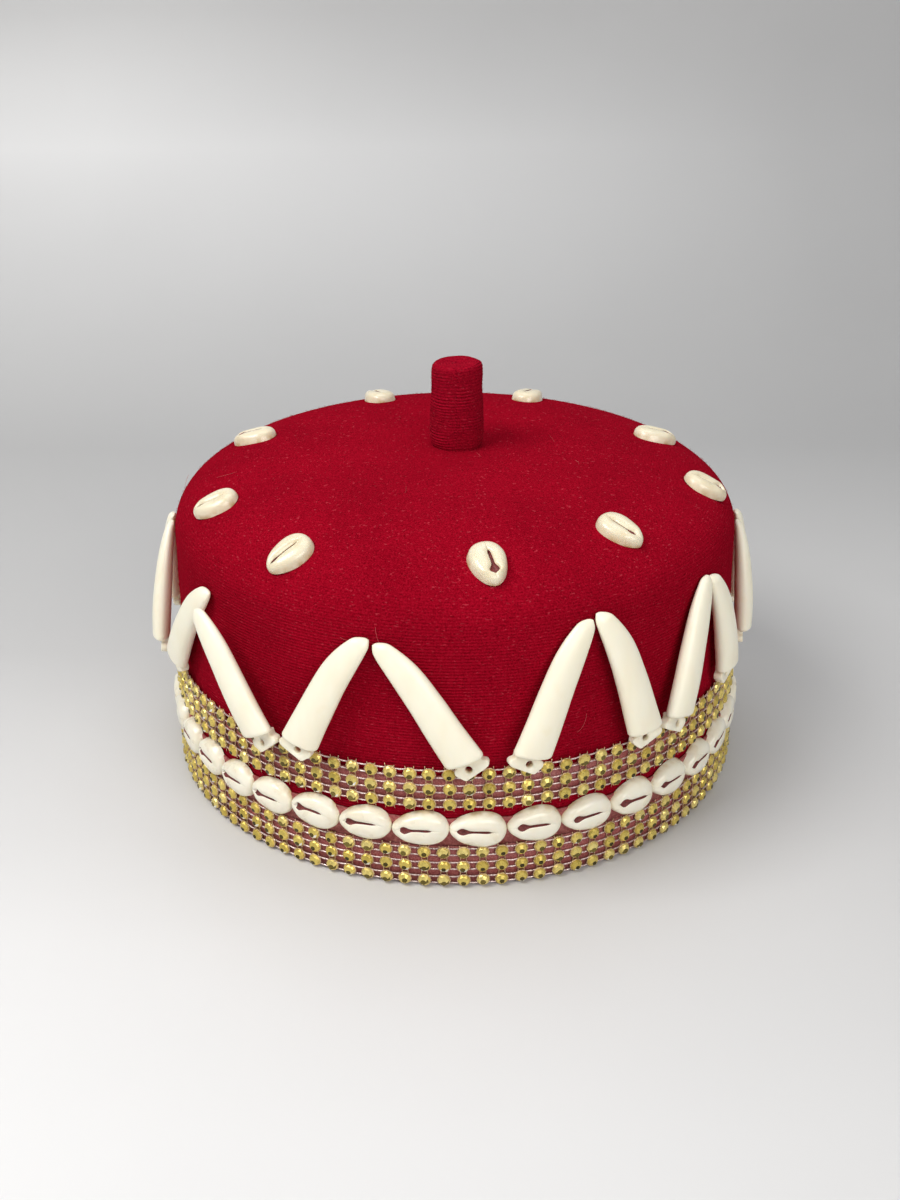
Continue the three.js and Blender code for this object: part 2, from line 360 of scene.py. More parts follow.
def felt_paint(name, row_pitch, row_depth, row_end, deep, mid, light):
    """Woolly red felt or thread: rows that run round it and give way to wool at a height, with painted
    shade that makes their grooves darker and their ridges lighter, a fuzz of fibres, and a soft sheen."""
    paint = Paint(name, 0.95)
    wander = paint.scaled(paint.noise(9.0), 0.9)
    phase = paint.scaled(paint.attribute("row"), TURN / row_pitch, wander)
    ridge = paint.scaled(paint.sum("SINE", phase), 0.5, 0.5)
    patch = paint.noise(14.0, 3.0)
    height = paint.add("ShaderNodeSeparateXYZ", {0: paint.place}).outputs[2]
    woolly = paint.scaled(height, 1 / FELT_ROW_FADE, 0.5 - row_end / FELT_ROW_FADE, clamp=True)
    row_share = paint.mix(woolly, paint.ramp(patch, (0.3, 0.45), (0.7, 1.0)), (0.12, 0.12, 0.12))
    row = paint.scaled(ridge, row_share)
    fuzz = paint.noise(0.42, 3.0, 0.65)
    wool = paint.noise(0.62, 4.0, 0.72)
    fibre = paint.noise(0.3, 2.0, 0.6, stretch=(0.35, 0.35, 1.6))
    blotch = paint.noise(30.0, 3.0, 0.55)
    grain = paint.scaled(paint.sum("SUBTRACT", fuzz, 0.5), 1.2, 0.4)
    wool_share = paint.scaled(woolly, 0.35, 0.25)
    grain = paint.scaled(paint.sum("SUBTRACT", wool, 0.5), wool_share, grain)
    # Painted shade: the rows' grooves are painted darker and their ridges lighter
    grain = paint.scaled(row, 0.2, grain)
    grain = paint.scaled(woolly, 0.05, grain)
    colour = paint.ramp(grain, (0.16, deep), (0.48, mid), (0.86, light))
    glint = paint.ramp(fibre, (0.66, 0.0), (0.76, 1.0))
    colour = paint.tint(colour, glint, 0.3, (0.5, 0.03, 0.05))
    fleck = paint.ramp(paint.noise(0.6, 1.0, 0.5, stretch=(0.5, 0.5, 1.5)), (0.66, 0.0), (0.75, 1.0))
    colour = paint.tint(colour, fleck, 0.36, (0.6, 0.07, 0.1))
    shade = paint.ramp(blotch, (0.3, 0.88), (0.7, 1.08))
    colour = paint.mix(1.0, colour, shade, "MULTIPLY")
    relief = paint.bump(fuzz, 0.2, 0.7, under=paint.bump(row, row_depth, 0.8))
    paint.set(Base_Color=colour, Normal=relief, Sheen_Weight=0.015, Sheen_Roughness=0.5)
    paint.set(Sheen_Tint=(1.0, 0.2, 0.25, 1), Specular_IOR_Level=0.0)
    return paint.material


def stone_paint(name, roughness, metallic, low, mid, high):
    """Faceted gilt stones, each a little different."""
    paint = Paint(name, roughness, metallic)
    colour = paint.ramp(paint.attribute("tone"), (0.0, low), (0.5, mid), (1.0, high))
    worn = paint.noise(1.1, 3.0)
    colour = paint.mix(paint.ramp(worn, (0.5, 0.0), (0.75, 0.3)), colour, low)
    paint.set(Base_Color=colour, Roughness=paint.ramp(worn, (0.35, roughness), (0.7, roughness * 1.5)))
    paint.set(Normal=paint.bump(worn, 0.03, 0.5))
    return paint.material


def wire_paint(name, light, dark):
    """Thin bright wire, with the turns of its twist."""
    paint = Paint(name, 0.3, 0.6)
    twist = paint.noise(0.5, 2.0)
    colour = paint.ramp(twist, (0.35, dark), (0.62, light))
    paint.set(Base_Color=colour, Roughness=paint.ramp(twist, (0.3, 0.2), (0.7, 0.42)))
    paint.set(Normal=paint.bump(twist, 0.12, 0.8))
    return paint.material


def net_paint(name, mesh_size):
    """A dull film or net of red-brown thread behind the stones and shells."""
    paint = Paint(name, 0.5)
    weave = paint.noise(mesh_size, 2.0, 0.6)
    cloud = paint.noise(4.0, 3.0)
    low, mid, high = (0.2, 0.032, 0.034), (0.35, 0.088, 0.082), (0.5, 0.19, 0.165)
    colour = paint.ramp(weave, (0.32, low), (0.52, mid), (0.75, high))
    colour = paint.mix(paint.ramp(cloud, (0.35, 0.0), (0.7, 0.4)), colour, (0.3, 0.08, 0.07))
    spark = paint.ramp(paint.noise(0.35, 1.0), (0.72, 0.0), (0.8, 1.0))
    colour = paint.tint(colour, spark, 0.45, (0.62, 0.4, 0.36))
    paint.set(Base_Color=colour, Normal=paint.bump(weave, 0.15, 0.8), Specular_IOR_Level=0.35)
    paint.set(Roughness=paint.ramp(cloud, (0.3, 0.38), (0.7, 0.62)))
    return paint.material


def shell_paint(name, shade):
    """Glossy ivory shell times a shade, which is painted shade that makes the dome's copy darker and a
    little yellower against the stronger light on top; darker and yellower where the glue shows at its
    edge.
    """
    paint = Paint(name, 0.3)
    cloud = paint.noise(5.0, 3.0)
    low, mid, high = (0.88, 0.81, 0.63), (0.935, 0.885, 0.73), (0.95, 0.915, 0.79)
    colour = paint.ramp(cloud, (0.3, low), (0.55, mid), (0.8, high))
    speck = paint.ramp(paint.noise(0.9, 2.0, 0.7), (0.7, 0.0), (0.78, 1.0))
    colour = paint.tint(colour, speck, 0.25, (0.55, 0.5, 0.34))
    glue = paint.ramp(paint.noise(3.5, 2.0), (0.42, 0.05), (0.62, 0.75))
    colour = paint.tint(colour, paint.attribute("tone"), glue, (0.55, 0.36, 0.1))
    ribs = paint.noise(1.6, 2.0)
    # Painted shade: the whole shell is multiplied by this shade
    colour = paint.mix(1.0, colour, shade, "MULTIPLY")
    paint.set(Base_Color=colour, Roughness=paint.ramp(cloud, (0.3, 0.24), (0.7, 0.38)))
    paint.set(Normal=paint.bump(ribs, 0.05, 0.6), Coat_Weight=0.35, Coat_Roughness=0.12)
    paint.set(Subsurface_Weight=0.12, Subsurface_Scale=0.002, Subsurface_Radius=(1.0, 0.7, 0.45))
    return paint.material


def slit_shade_paint():
    """The red-brown inside of a cowrie's slit, painted dark as well for the shade that falls into the
    slit.
    """
    paint = Paint("cowrie_slit_shade", 0.6)
    grain = paint.noise(0.5, 3.0)
    # Painted shade: the slit's red-brown is kept dark for the shade in its recess
    colour = paint.ramp(grain, (0.35, (0.1, 0.015, 0.014)), (0.65, (0.25, 0.042, 0.036)))
    paint.set(Base_Color=colour, Normal=paint.bump(grain, 0.15, 0.8))
    return paint.material


def tusk_paint():
    """Creamy horn with a soft polish, faint stains and specks, and painted shade in the crease at its
    foot and in its lug.
    """
    paint = Paint("polished_horn", 0.36)
    streak = paint.noise(5.0, 2.0, 0.5, stretch=(1.0, 1.0, 0.35))
    low, mid, high = (0.96, 0.89, 0.7), (0.975, 0.92, 0.74), (0.98, 0.935, 0.765)
    colour = paint.ramp(streak, (0.3, low), (0.55, mid), (0.8, high))
    # Painted shade: browner and darker where the tone marks the crease at the body's foot, the lug's hole
    # and the lug next to the neck
    colour = paint.tint(colour, paint.attribute("tone"), 0.32, (0.5, 0.4, 0.24))
    stain = paint.ramp(paint.noise(7.0, 3.0), (0.62, 0.0), (0.76, 0.22))
    colour = paint.mix(stain, colour, (0.88, 0.76, 0.46))
    speck = paint.ramp(paint.noise(0.7, 2.0, 0.7), (0.79, 0.0), (0.84, 1.0))
    colour = paint.tint(colour, speck, 0.35, (0.35, 0.24, 0.14))
    worn = paint.noise(1.2, 3.0)
    paint.set(Base_Color=colour, Roughness=paint.ramp(worn, (0.3, 0.34), (0.7, 0.44)))
    paint.set(Normal=paint.bump(worn, 0.03, 0.4), Coat_Weight=0.15, Coat_Roughness=0.25)
    paint.set(Subsurface_Weight=0.15, Subsurface_Scale=0.003, Subsurface_Radius=(1.0, 0.75, 0.5))
    return paint.material


def fibre_paint():
    """Loose red fibres that catch the light."""
    paint = Paint("loose_fibre", 0.8)
    low, mid, high = (0.24, 0.002, 0.01), (0.45, 0.012, 0.03), (0.6, 0.16, 0.16)
    colour = paint.ramp(paint.attribute("tone"), (0.0, low), (0.8, mid), (1.0, high))
    strand = paint.noise(0.4, 1.0)
    colour = paint.tint(colour, strand, 0.25, (0.5, 0.03, 0.05))
    paint.set(Base_Color=colour, Normal=paint.bump(strand, 0.02), Specular_IOR_Level=0.05)
    return paint.material


# Felt crown


def even_steps(points, step):
    """Points [radius, height] at even steps along an outline, each with the length up to it."""
    lengths = [0.0]
    for (r1, z1), (r2, z2) in zip(points, points[1:]):
        lengths.append(lengths[-1] + hypot(r2 - r1, z2 - z1))
    count = round(lengths[-1] / step)
    found = []
    here = 0
    for i in range(count + 1):
        wanted = lengths[-1] * i / count
        while here < len(points) - 2 and lengths[here + 1] < wanted:
            here += 1
        span = lengths[here + 1] - lengths[here]
        share = (wanted - lengths[here]) / span if span else 0
        radius = points[here][0] + share * (points[here + 1][0] - points[here][0])
        height = points[here][1] + share * (points[here + 1][1] - points[here][1])
        found.append((radius, height, wanted))
    return found


def crown_outline(depth):
    """The outline from the rim to the middle of the dome, turned inwards by a depth."""
    edge = FELT_THICKNESS / 2
    points = [(wall_radius(z) - depth, z) for z in (edge, 20, 40, 60, SHOULDER_HEIGHT)]
    steps = 240
    for i in range(1, steps + 1):
        angle = pi / 2 * i / steps
        radius = (SHOULDER_RADIUS - depth) * max(cos(angle), 0) ** (2 / DOME_SIDE_ROUNDNESS)
        rise = (CROWN_HEIGHT - SHOULDER_HEIGHT - depth) * sin(angle) ** (2 / DOME_TOP_ROUNDNESS)
        points.append((radius, SHOULDER_HEIGHT + rise))
    return [point for point in points if point[0] > 0.8]


def make_crown(felt):
    """The felt body, its rim folded round and its wall a little uneven by hand."""
    sides = 240
    edge = FELT_THICKNESS / 2
    outside = even_steps(crown_outline(0), 1.5)
    inside = even_steps(crown_outline(FELT_THICKNESS), 3.2)
    fold = [(RIM_RADIUS - edge + edge * cos(a), edge + edge * sin(a), 0.0)
            for a in (pi * (1 + i / 8) for i in range(1, 8))]
    outline = inside[::-1] + fold + outside
    lines = []
    lengths = []
    for radius, height, length in outline:
        line = []
        for azimuth in full_turn(sides):
            point = on_cap(azimuth, radius, height)
            uneven = 0.14 * lump(point, 26) + 0.05 * lump(point, 7) - 0.12
            level = Vector((point.x, point.y, 0)).normalized()
            upright = smooth_step(SHOULDER_RADIUS - 2, SHOULDER_RADIUS - 12, radius)
            line.append(point + (level * (1 - upright) + Vector((0, 0, upright))) * uneven)
            lengths.append(length)
        lines.append(line)
    shape = Shape()
    shape.sheet(lines, ends=(True, True), row=lengths)
    shape.piece("felt_crown", [felt], "felt", ["crown"], rows=True)


def make_fuzz(material):
    """Short fibres that stand off the felt, and a few long stray ones."""
    dice = random.Random(11)
    shape = Shape()
    outline = even_steps(crown_outline(0), 1.0)
    weights = [radius for radius, _, _ in outline]
    for number in range(FELT_FIBRES):
        stray = number % STRAY_EVERY == 0
        i = dice.choices(range(1, len(outline) - 1), weights[1:-1])[0]
        radius, height, _ = outline[i]
        azimuth = dice.uniform(0, TURN)
        before, after = outline[i - 1], outline[i + 1]
        slope = atan2(before[0] - after[0], after[1] - before[1])
        place = frame_on_cap(azimuth, radius, height, slope)
        heading = dice.uniform(0, TURN)
        bend = dice.uniform(-0.9, 0.9)
        length = dice.uniform(4.0, 7.0) if stray else dice.uniform(0.5, 1.4)
        rise = dice.uniform(0.1, 0.5) if stray else dice.uniform(0.12, 0.42)
        path = []
        x = y = 0.0
        steps = 6 if stray else 3
        for k in range(steps + 1):
            share = k / steps
            up = rise * sin(share * pi * 0.8) - 0.1
            path.append(place @ Vector((x, y, up)))
            x += cos(heading + bend * share) * length / steps
            y += sin(heading + bend * share) * length / steps
        tone = dice.uniform(0.85, 1.0) if stray else dice.random() ** 1.5 * 0.85
        shape.tube(path, STRAY_RADIUS if stray else FIBRE_RADIUS, sides=3, tone=tone)
    shape.piece("felt_fuzz", [material], "felt", tones=True)


# Wound stem


def make_stem(thread, fibre):
    """Thread wound on a core: tucked in at the foot, with a soft rolled edge and a dip on top, which
    is higher on its right."""
    sides = 80
    base = CROWN_HEIGHT + GAP
    shares = [(0.93, -0.03), (0.99, 0.01), (1.03, 0.08), (1.04, 0.2), (1.03, 0.34), (1.0, 0.5),
              (0.975, 0.66), (0.965, 0.8), (0.965, 0.9), (0.95, 0.945), (0.88, 0.975), (0.76, 0.985),
              (0.6, 0.975), (0.4, 0.962), (0.2, 0.958), (0.03, 0.958)]
    corners = [(radius * STEM_RADIUS, height * STEM_HEIGHT) for radius, height in shares]
    outline = even_steps(rounded(corners, 3), STEM_THREAD / 7)
    lines = []
    lengths = []
    for i, (radius, height, length) in enumerate(outline):
        before = outline[max(i - 1, 0)]
        after = outline[min(i + 1, len(outline) - 1)]
        facing = Vector((after[1] - before[1], before[0] - after[0])).normalized()
        line = []
        for azimuth in full_turn(sides):
            point = on_cap(azimuth, radius, height)
            phase = length / STEM_THREAD - azimuth / TURN + 0.35 * lump(point, 6)
            relief = 0.2 * abs(sin(pi * phase)) + 0.24 * lump(point, 5.5) - 0.2
            share = height / STEM_HEIGHT
            lift = 0.45 * lump((point.x, point.y, 40), 7) * smooth_step(0.85, 1.0, share)
            lift += (0.7 + 0.5 * sin(azimuth) * radius / STEM_RADIUS) * smooth_step(0.5, 1.0, share)
            away = on_cap(azimuth, facing.x, facing.y)
            line.append(point + away * relief + Vector((STEM_OFFSET, 0, base + lift)))
            lengths.append(length - azimuth / TURN * STEM_THREAD)
        lines.append(line)
    shape = Shape()
    shape.sheet(lines, ends=(True, True), row=lengths)
    shape.piece("wound_stem", [thread], "wound_thread", ["stem"], rows=True)

    dice = random.Random(5)
    fuzz = Shape()
    for _ in range(STEM_FIBRES):
        i = dice.randrange(10, len(outline) - 40)
        radius, height, _ = outline[i]
        start = dice.uniform(0, TURN)
        turn = dice.uniform(0.08, 0.22)
        rise = dice.uniform(0.15, 0.5)
        fall = dice.uniform(-0.8, 0.8)
        path = []
        for k in range(4):
            out = radius - 0.1 + rise * sin(k / 3 * pi * 0.8)
            point = on_cap(start + turn * k / 3, out, base + height + fall * k / 3)
            path.append(point + Vector((STEM_OFFSET, 0, 0)))
        fuzz.tube(path, FIBRE_RADIUS, sides=3, tone=dice.random() * 0.8)
    fuzz.piece("stem_fuzz", [fibre], "wound_thread", tones=True)


def rounded(corners, passes):
    """Cuts the corners of an open outline a few times over, so that it bends evenly."""
    for _ in range(passes):
        cut = [corners[0]]
        for (r1, z1), (r2, z2) in zip(corners, corners[1:]):
            cut.append((0.75 * r1 + 0.25 * r2, 0.75 * z1 + 0.25 * z2))
            cut.append((0.25 * r1 + 0.75 * r2, 0.25 * z1 + 0.75 * z2))
        corners = cut + [corners[-1]]
    return corners


# Stone bands


# The order of a band's paints
STONE, CLAW, WIRE, SHADOW, GLINT = range(5)


def add_stone(shape, place, tone, turn, glint):
    """A faceted stone on its seat: a girdle, two rings of facets, and a table painted dark as a
    reflection of the dark room, wider below.
    With a darker tone, the facets beside the table are painted dark the same way, and now and then the
    facets under it are painted bright as a glint."""
    rings = [(1.0, 0.0, 0.0), (1.0, 0.5, 0.0), (0.8, 1.15, 0.5), (0.37, 1.6, 0.0)]
    sides = STONE_FACETS
    half = STONE_GIRDLE / 2
    points = []
    for radius, height, shift in rings:
        for j in range(sides):
            angle = TURN * (j + shift) / sides + turn
            size = half * radius
            if radius < 0.5:
                size *= 0.9 + 0.3 * tone - 0.5 * sin(angle)
            points.append(place @ Vector((size * cos(angle), size * sin(angle), height)))
    faces = []
    kinds = []
    for j in range(sides):
        k = (j + 1) % sides
        girdle = [j, k, sides + k, sides + j]
        crown = [[sides + j, sides + k, 2 * sides + j], [sides + k, 2 * sides + k, 2 * sides + j]]
        inner = 3 * sides
        top = [[2 * sides + j, 2 * sides + k, inner + k], [2 * sides + j, inner + k, inner + j]]
        faces += [girdle, *crown, *top]
        down = -sin(TURN * (j + 0.5) / sides + turn)
        # Painted reflection: facets facing down are painted bright as a glint now and then, and those
        # beside the table dark like it
        under = STONE
        if down > 0.6 and glint:
            under = GLINT
        elif 0.2 < down <= 0.6 and tone > 0.55:
            under = SHADOW
        kinds += [STONE, STONE, STONE, under, under]
    # The table is painted dark, as a painted reflection of the dark room
    faces.append([3 * sides + j for j in range(sides)])
    kinds.append(SHADOW)
    shape.add(points, faces, kind=kinds, smooth=False, tone=tone)


def make_band(name, node, bottom, first_column, net_low, net_high, prong_low, paints, net_film, seed):
    """Three rows of set stones, the wires that carry them, and the net behind."""
    dice = random.Random(seed)
    band = Shape()
    rows = [bottom + NET_MARGIN + ROW_PITCH * row for row in range(3)]

    net = Shape()
    lines = []
    sides = STONE_COLUMNS * 4
    film = 0.35
    for depth, height in ((0.0, net_low), (film, net_low), (film, net_high), (0.0, net_high)):
        line = []
        for azimuth in full_turn(sides):
            sway = 0.16 * lump((sin(azimuth) * 90, cos(azimuth) * 90, height), 6)
            line.append(on_cap(azimuth, trim_radius(height) + depth - 0.1, height + sway))
        lines.append(line)
    net.sheet(lines, looped=True)
    net.piece(name + "_net", [net_film], "gold_stones")

    for column in range(STONE_COLUMNS):
        azimuth = first_column + TURN * column / STONE_COLUMNS + dice.uniform(-0.0012, 0.0012)
        for height in rows:
            lifted = height + dice.uniform(-0.12, 0.12)
            spread = azimuth + dice.uniform(-0.0015, 0.0015)
            place = frame_on_cap(spread, trim_radius(lifted) + SEAT_LIFT, lifted, WALL_LEAN)
            tilt = Matrix.Rotation(dice.uniform(-STONE_TILT, STONE_TILT), 4, "X")
            tilt = tilt @ Matrix.Rotation(dice.uniform(-STONE_TILT, STONE_TILT), 4, "Y")
            tone, turn = dice.random(), dice.uniform(0, TURN / STONE_FACETS)
            add_stone(band, place @ tilt, tone, turn, dice.random() < GLINT_SHARE)
            seat = [place @ Vector((SEAT_RADIUS * cos(a), SEAT_RADIUS * sin(a), 0.42))
                    for a in full_turn(10)]
            band.tube(seat, SEAT_WIRE, sides=4, looped=True, kind=CLAW)
        for side in (-1, 1):
            ends = (prong_low + dice.uniform(-0.1, 0.2), rows[2] + 2.35 + dice.uniform(-0.25, 0.2))
            flare = dice.uniform(0.05, 0.4)
            low, middle, high = rows
            half = ROW_PITCH / 2
            bends = [(ends[0], 0.5, 1.05 + flare), (low - 1.0, 0.75, 1.1), (low + 1.6, 0.6, 1.0),
                     (low + half, 0.75, 0.82), (middle - 1.6, 0.6, 1.0), (middle + 1.6, 0.6, 1.0),
                     (middle + half, 0.75, 0.82), (high - 1.6, 0.6, 1.0), (high + 1.0, 0.75, 1.1),
                     (ends[1], 0.75, 1.05 + flare)]
            path = []
            for height, out, across in bends:
                radius = trim_radius(height) + out
                path.append(on_cap(azimuth + side * across / radius, radius, height))
            band.tube(path, PRONG_WIRE, sides=4, kind=CLAW)

    steps = STONE_COLUMNS * TWISTS_PER_STONE
    for height in rows:
        for side in (-1, 1):
            shift = dice.uniform(0, 50)
            path = []
            sizes = []
            for j in range(steps):
                azimuth = first_column + TURN * j / steps
                between = 0.5 - 0.5 * cos(TURN * j / TWISTS_PER_STONE)
                wave = 0.14 * noise.noise(Vector((sin(azimuth) * 20, cos(azimuth) * 20, shift)))
                level = height + side * (TWIST_SIDE - 0.12 * between) + wave
                path.append(on_cap(azimuth, trim_radius(level) + TWIST_LIFT + 0.1 * between, level))
                sizes.append(TWIST_THICK if j % 2 else TWIST_THIN)
            band.tube(path, sizes, sides=5, looped=True, kind=WIRE)
    band.piece(name, paints, "gold_stones", [node], tones=True)


# Cowries


# The order of a cowrie's paints
SHELL, SLIT = range(2)


def add_cowrie(shape, place, length, look, stations, lip_steps):
    """One cowrie with its slit up: a flat base, two swelling lips, and a toothed slit with a drop-shaped
    end."""
    half_length = length / 2
    half_width = COWRIE_WIDTH / 2 * look["wide"]
    lines = []
    kinds = []
    tones = []
    for i in range(stations + 1):
        along = -cos(pi * i / stations)
        bulge = sqrt(max(1 - along * along, 0))
        width = half_width * bulge * (1 + 0.2 * along) + 0.02
        top = COWRIE_HEIGHT * look["high"] * max(1 - abs(along) ** 3.2, 0) ** (1 / 2.4)
        slit_x = (along - look["slit_from"]) / (look["slit_to"] - look["slit_from"])
        in_slit = 0 < slit_x < 1
        near_end = min(max(slit_x, 0), 0.35)
        open_end = 4 * near_end * (0.6 - near_end)
        drop = exp(-((slit_x - 0.16) / 0.14) ** 2)
        half_slit = 0.0
        if in_slit:
            round_end = sqrt(1 - (1 - min(slit_x / 0.12, 1)) ** 2)
            taper = round_end * sin(pi * min((1 - slit_x) * 7, 1) / 2)
            half_slit = (look["slit"] * (0.36 + 0.86 * drop) + 0.05 * open_end) * taper
            half_slit += look["teeth"] * taper * (0.5 + 0.5 * cos(TURN * slit_x * look["count"]))
        valley = look["valley"] * smooth_step(-0.25, 0.12, slit_x) * smooth_step(1.3, 0.9, slit_x)
        centre = look["offset"] + look["bow"] * (along * along - 0.3) + look["slant"] * along
        centre *= bulge
        ribs = look["ribs"] * cos(TURN * slit_x * look["count"]) if -0.05 < slit_x < 1.1 else 0.0
        line = []
        for side in (-1, 1):
            lip = []
            for k in range(lip_steps + 1):
                share = (k / lip_steps) ** 1.35
                start = centre + side * half_slit
                across = start + (side * width - start) * share
                rise = max(1 - share ** 3.2, 0) ** (1 / 2.3) * (1 - 0.1 * share)
                dip = valley * exp(-share / 0.16)
                rib = ribs * exp(-share / 0.22)
                z = top * (rise - dip) + rib
                lip.append((Vector((along * half_length, across, z - 0.35 * (k == lip_steps))), share))
            edge_height = lip[0][0].z
            deep = min(0.8, edge_height * 0.5) if in_slit else 0.02
            wall = (along * half_length, centre + side * half_slit * 0.7, edge_height - deep * 0.75)
            lip.insert(0, (Vector(wall), 0.0))
            if side < 0:
                lip.reverse()
                lip.append((Vector((along * half_length, centre, edge_height - deep)), 0.0))
            line += lip
        lines.append([place @ point for point, _ in line])
        tones += [smooth_step(0.93, 1.0, share) for _, share in line]
        if i < stations:
            row = [SHELL] * (len(line) - 1)
            if in_slit and slit_x < 0.985:
                row[lip_steps:lip_steps + 4] = [SLIT] * 4
            kinds += row
    shape.sheet(lines, closed=False, kind=kinds, tone=tones)


def cowrie_look(dice, **changes):
    """How one shell differs from the next."""
    look = {
        "wide": dice.uniform(0.97, 1.04),
        "high": dice.uniform(0.86, 0.94),
        "slit": dice.uniform(0.85, 1.1),
        "slit_from": dice.uniform(-0.76, -0.66),
        "slit_to": dice.uniform(0.42, 0.56),
        "teeth": dice.uniform(0.05, 0.11),
        "count": dice.randrange(11, 15),
        "valley": dice.uniform(0.1, 0.2),
        "offset": dice.uniform(0.1, 1.2),
        "bow": dice.uniform(-0.4, 0.3),
        "slant": dice.uniform(-0.3, 0.4),
        "ribs": dice.uniform(0.0, 0.04),
    }
    look.update(changes)
    return look


def make_ring(shell, slit, film):
    """The ring of small cowries, unevenly spaced by hand, and the dull strip that they are glued to."""
    dice = random.Random(23)
    strip = Shape()
    sides = 8 * RING_COWRIE_COUNT
    top = RING_STRIP_BOTTOM + RING_STRIP_HEIGHT
    lines = []
    low = RING_STRIP_BOTTOM
    for height, depth in ((low, 0), (low, 0.5), (top - 0.4, 0.6), (top, 0.35), (top, 0)):
        line = []
        for azimuth in full_turn(sides):
            around = Vector((sin(azimuth) * 95, cos(azimuth) * 95, height))
            level = height + (0.55 * lump(around, 5) if height > 20 else 0)
            line.append(on_cap(azimuth, trim_radius(level) + depth + 0.06 * lump(around, 2), level))
        lines.append(line)
    strip.sheet(lines, looped=True)
    strip.piece("cowrie_strip", [film], "cowrie_shell")

    ring = Shape()
    radius = trim_radius(RING_CENTRE_HEIGHT) + RING_STRIP_THICKNESS / 2
    for i in range(RING_COWRIE_COUNT):
        azimuth = radians(RING_COWRIE_AZIMUTH + i * 360 / RING_COWRIE_COUNT)
        wave = RING_DRIFT_WAVES * (azimuth - RING_DRIFT_AZIMUTH)
        azimuth += RING_DRIFT * sin(wave)
        place = frame_on_cap(azimuth, radius, RING_CENTRE_HEIGHT + dice.uniform(-0.3, 0.3), WALL_LEAN)
        turned = Matrix.Rotation(dice.uniform(-0.07, 0.07), 4, "Z")
        stretch = 1 + RING_DRIFT_WAVES * RING_DRIFT * cos(wave)
        length = RING_COWRIE_LENGTH * dice.uniform(0.98, 1.01) * stretch
        add_cowrie(ring, place @ turned, length, cowrie_look(dice), 34, 9)
    ring.piece("cowrie_ring_shells", [shell, slit], "cowrie_shell", ["cowrie_ring"], tones=True)


DOME_COWRIES = [
    (-154, 62.5, 0, {}),
    (-103.5, 69, 12, {}),
    (-64.5, 79.7, -20, {"slit": 0.42, "valley": 0.3}),
    (-34, 82, -24, {"slit": 0.3, "valley": 0.34, "slit_from": -0.8, "slit_to": 0.5, "offset": 0.2}),
    (6.3, 78.8, 10, {"slit": 1.05, "valley": 0.28, "offset": -0.6}),
    (37.7, 75.6, 15, {"slit": 0.5, "valley": 0.36, "ribs": 0.1, "teeth": 0.08, "offset": 0.2}),
    (75.3, 80.5, 8, {"slit": 1.0, "valley": 0.36, "ribs": 0.08, "teeth": 0.16, "slit_to": 0.6}),
    (102.8, 69.2, -12, {}),
    (154, 62.5, 0, {}),
]


def make_dome_cowries(shell, slit):
    """The nine loose cowries, each lying on the slope of the dome with its narrow end out."""
    dice = random.Random(31)
    for number, (degrees, radius, turned, changes) in enumerate(DOME_COWRIES, 1):
        step = 0.5
        fall = dome_height(radius - step) - dome_height(radius + step)
        slope = atan2(2 * step, fall)
        place = frame_on_cap(radians(degrees), radius, dome_height(radius), slope)
        spin = Matrix.Rotation(pi / 2 + radians(turned), 4, "Z")
        shape = Shape()
        look = cowrie_look(dice, **{"high": 0.92, "wide": 0.96, "offset": -0.2, **changes})
        add_cowrie(shape, place @ spin, COWRIE_LENGTH, look, 64, 14)
        node = f"dome_cowrie_{number:02d}"
        shape.piece(node + "_shell", [shell, slit], "cowrie_shell", [node], tones=True)


# Tusk beads

# The azimuth of the meeting tips in degrees. Then, for the left and the right tusk: how far its foot lies
# from there in degrees, its length as a share of the full length, and how far its foot is raised as a
# share of the lug. Last, whether the right tusk lies over the left one.
TUSK_PAIRS = [
    (-14.4, (11.9, 16.1), (0.925, 0.975), (0, 0), False),
    (23.8, (11.7, 8.1), (0.975, 0.965), (0.12, 0.1), False),
    (53.1, (12.4, 5.5), (0.985, 0.845), (0, 0.45), False),
    (84.4, (8.3, 11), (0.85, 0.96), (0.45, 0), False),
    (122.6, (12, 12), (0.96, 0.97), (0, 0), False),
    (160.9, (12, 12), (0.97, 0.96), (0, 0), False),
    (199.1, (12, 12), (0.96, 0.97), (0, 0), False),
    (237.4, (12, 12), (0.97, 0.96), (0, 0), False),
    (275.6, (11, 8.3), (0.96, 0.91), (0, 0), False),
    (309.8, (14.6, 16.2), (0.908, 0.965), (0.45, -0.3), True),
]

# Share of the length, reach to the inner and outer side in widths, and share of the thickness
TUSK_SECTIONS = [
    (0, 0.24, 0.74, 0.93),
    (0.24, 0.19, 0.71, 1),
    (0.5, 0.14, 0.69, 0.93),
    (0.74, 0.13, 0.61, 0.76),
    (0.94, 0.12, 0.36, 0.48),
    (1, 0.05, 0.15, 0.25),
]

# The lug, in shares of its width and length: its point at 0, its ears, its waist, the inner side at plus
LUG_OUTLINE = [(0, 0), (0.04, 0.03), (0.15, 0.34), (0.2, 0.46), (0.225, 0.62), (0.215, 0.8), (0.17, 0.92),
               (0.1, 0.98), (0.085, 1.06), (0.1, 1.42), (-0.64, 1.42), (-0.63, 1.06), (-0.66, 0.98),
               (-0.73, 0.92), (-0.775, 0.8), (-0.78, 0.62), (-0.75, 0.5), (-0.69, 0.4), (-0.05, 0.01)]


